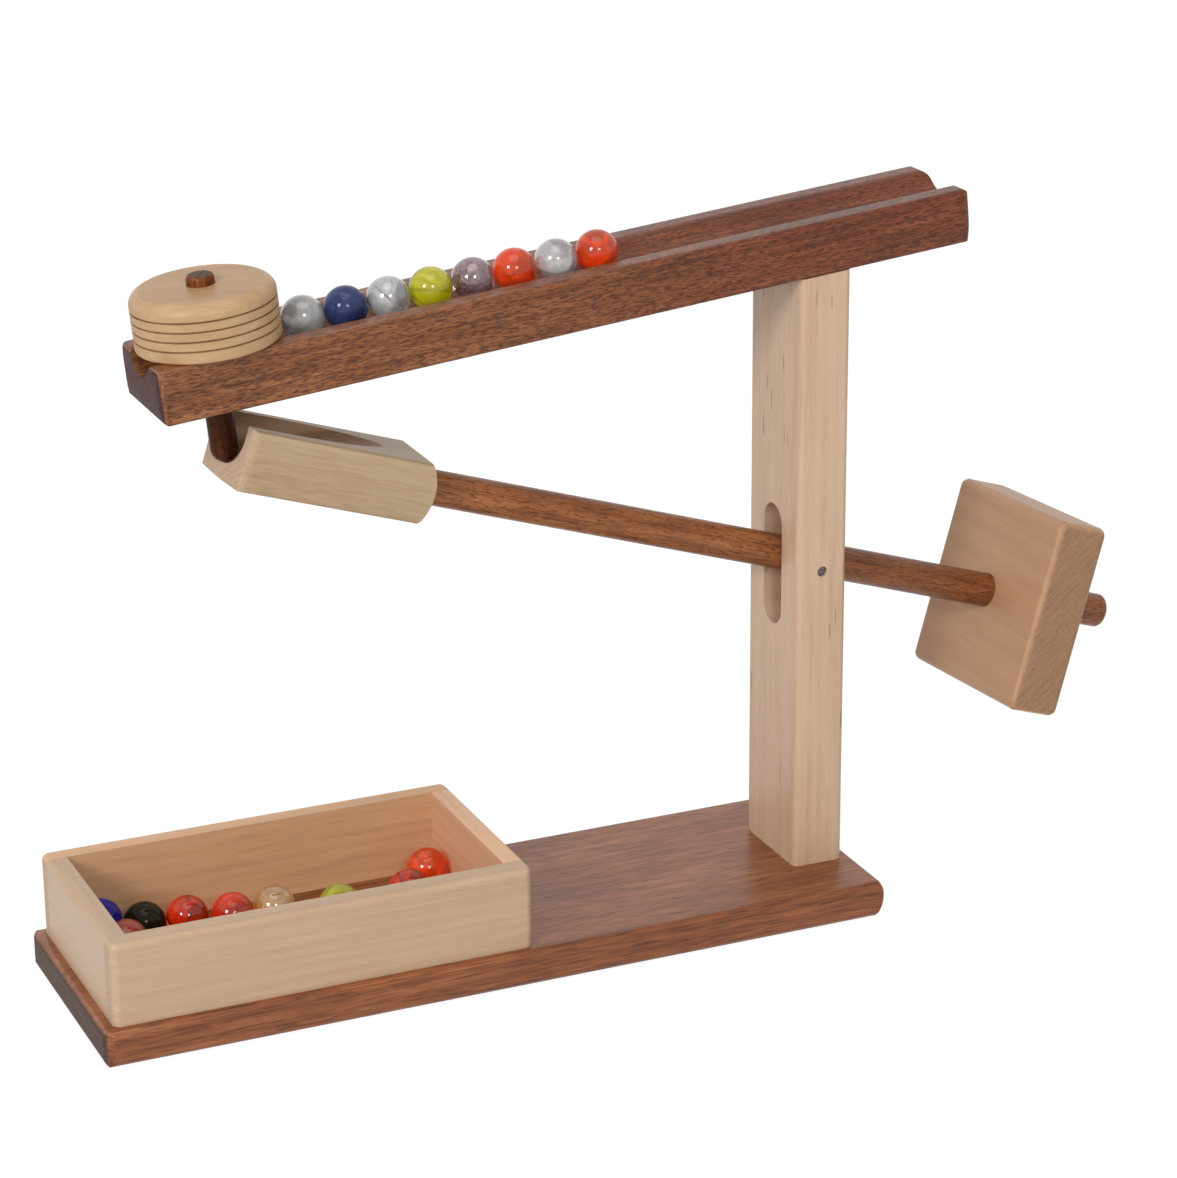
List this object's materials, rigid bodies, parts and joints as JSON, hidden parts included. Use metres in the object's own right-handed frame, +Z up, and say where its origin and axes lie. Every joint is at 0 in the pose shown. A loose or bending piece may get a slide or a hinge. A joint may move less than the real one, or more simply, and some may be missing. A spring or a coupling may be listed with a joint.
{
  "type": "marble machine",
  "caption": "Wooden marble machine: sloping grooved track on a post, lifting disc gate, balanced scoop arm with sliding counterweight, and a catch box on a long base.",
  "frame": {"origin": "centre of the underside of the base board", "axes": "+X along the base towards the post, +Z up, -Y towards the viewer"},
  "size_m": [0.413, 0.0922, 0.2636],
  "materials": {
    "dark_wood": "semi-gloss stained",
    "light_wood": "satin clear",
    "steel": "plain",
    "glass_clear": "polished",
    "glass_slate": "polished",
    "glass_yellow_green": "polished",
    "glass_violet": "polished",
    "glass_red": "polished",
    "glass_blue": "polished",
    "glass_dark_red": "polished",
    "glass_black": "polished",
    "glass_amber": "polished"
  },
  "bodies": {
    "frame": {"base_board": "dark_wood", "box_front_wall": "light_wood", "box_rear_wall": "light_wood", "box_left_wall": "light_wood", "box_right_wall": "light_wood", "post": "light_wood", "post_screws": "steel", "track": "dark_wood", "track_dowels": "light_wood", "pivot_pin": "steel"},
    "arm": {"arm_rod": "dark_wood", "scoop": "light_wood"},
    "weight": {"counterweight": "light_wood"},
    "gate": {"gate_disc": "light_wood", "gate_peg": "dark_wood"},
    "queue_marble_1_body": {"queue_marble_1": "glass_clear"},
    "queue_marble_2_body": {"queue_marble_2": "glass_slate"},
    "queue_marble_3_body": {"queue_marble_3": "glass_clear"},
    "queue_marble_4_body": {"queue_marble_4": "glass_yellow_green"},
    "queue_marble_5_body": {"queue_marble_5": "glass_violet"},
    "queue_marble_6_body": {"queue_marble_6": "glass_red"},
    "queue_marble_7_body": {"queue_marble_7": "glass_clear"},
    "queue_marble_8_body": {"queue_marble_8": "glass_red"},
    "tray_marble_1_body": {"tray_marble_1": "glass_blue"},
    "tray_marble_2_body": {"tray_marble_2": "glass_dark_red"},
    "tray_marble_3_body": {"tray_marble_3": "glass_black"},
    "tray_marble_4_body": {"tray_marble_4": "glass_red"},
    "tray_marble_5_body": {"tray_marble_5": "glass_red"},
    "tray_marble_6_body": {"tray_marble_6": "glass_amber"},
    "tray_marble_7_body": {"tray_marble_7": "glass_yellow_green"},
    "tray_marble_8_body": {"tray_marble_8": "glass_red"},
    "tray_marble_9_body": {"tray_marble_9": "glass_red"}
  },
  "joints": [
    {"name": "arm_tilt", "type": "hinge", "parent": "frame", "child": "arm", "pos_m": [0.13415, 0, 0.1282], "axis": [0, -1, 0], "range_deg": [0, 40]},
    {"name": "weight_slide", "type": "slide", "parent": "arm", "child": "weight", "axis": [0.9514, 0, -0.308], "range_m": [-0.05, 0.03]},
    {"name": "gate_lift", "type": "slide", "parent": "frame", "child": "gate", "axis": [-0.0979, 0, 0.9952], "range_m": [0, 0.0095]},
    {"name": "queue_roll_1", "type": "slide", "parent": "frame", "child": "queue_marble_1_body", "axis": [0.9952, 0, 0.0979], "range_m": [0, 0.12]},
    {"name": "queue_roll_2", "type": "slide", "parent": "frame", "child": "queue_marble_2_body", "axis": [0.9952, 0, 0.0979], "range_m": [0, 0.12]},
    {"name": "queue_roll_3", "type": "slide", "parent": "frame", "child": "queue_marble_3_body", "axis": [0.9952, 0, 0.0979], "range_m": [0, 0.12]},
    {"name": "queue_roll_4", "type": "slide", "parent": "frame", "child": "queue_marble_4_body", "axis": [0.9952, 0, 0.0979], "range_m": [0, 0.12]},
    {"name": "queue_roll_5", "type": "slide", "parent": "frame", "child": "queue_marble_5_body", "axis": [0.9952, 0, 0.0979], "range_m": [0, 0.12]},
    {"name": "queue_roll_6", "type": "slide", "parent": "frame", "child": "queue_marble_6_body", "axis": [0.9952, 0, 0.0979], "range_m": [0, 0.12]},
    {"name": "queue_roll_7", "type": "slide", "parent": "frame", "child": "queue_marble_7_body", "axis": [0.9952, 0, 0.0979], "range_m": [0, 0.12]},
    {"name": "queue_roll_8", "type": "slide", "parent": "frame", "child": "queue_marble_8_body", "axis": [0.9952, 0, 0.0979], "range_m": [0, 0.12]},
    {"name": "tray_roll_1", "type": "slide", "parent": "frame", "child": "tray_marble_1_body", "axis": [0, 1, 0], "range_m": [-0.0256, 0]},
    {"name": "tray_roll_2", "type": "slide", "parent": "frame", "child": "tray_marble_2_body", "axis": [0, 1, 0], "range_m": [-0.032, 0]},
    {"name": "tray_roll_3", "type": "slide", "parent": "frame", "child": "tray_marble_3_body", "axis": [0, 1, 0], "range_m": [-0.0256, 0]},
    {"name": "tray_roll_4", "type": "slide", "parent": "frame", "child": "tray_marble_4_body", "axis": [0, 1, 0], "range_m": [-0.043, 0.0098]},
    {"name": "tray_roll_5", "type": "slide", "parent": "frame", "child": "tray_marble_5_body", "axis": [0, 1, 0], "range_m": [-0.0384, 0.0143]},
    {"name": "tray_roll_6", "type": "slide", "parent": "frame", "child": "tray_marble_6_body", "axis": [0, 1, 0], "range_m": [-0.038, 0.0148]},
    {"name": "tray_roll_7", "type": "slide", "parent": "frame", "child": "tray_marble_7_body", "axis": [0, 1, 0], "range_m": [-0.0292, 0.0235]},
    {"name": "tray_roll_8", "type": "slide", "parent": "frame", "child": "tray_marble_8_body", "axis": [0, 1, 0], "range_m": [-0.031, 0]},
    {"name": "tray_roll_9", "type": "slide", "parent": "frame", "child": "tray_marble_9_body", "axis": [0, 1, 0], "range_m": [0, 0.007]}
  ],
  "couplings": [
    {"joint": "queue_roll_2", "follows": "queue_roll_1", "ratio": 1},
    {"joint": "queue_roll_3", "follows": "queue_roll_1", "ratio": 1},
    {"joint": "queue_roll_4", "follows": "queue_roll_1", "ratio": 1},
    {"joint": "queue_roll_5", "follows": "queue_roll_1", "ratio": 1},
    {"joint": "queue_roll_6", "follows": "queue_roll_1", "ratio": 1},
    {"joint": "queue_roll_7", "follows": "queue_roll_1", "ratio": 1},
    {"joint": "queue_roll_8", "follows": "queue_roll_1", "ratio": 1},
    {"joint": "tray_roll_1", "follows": "tray_roll_2", "ratio": 0.8},
    {"joint": "tray_roll_3", "follows": "tray_roll_2", "ratio": 0.8}
  ]
}
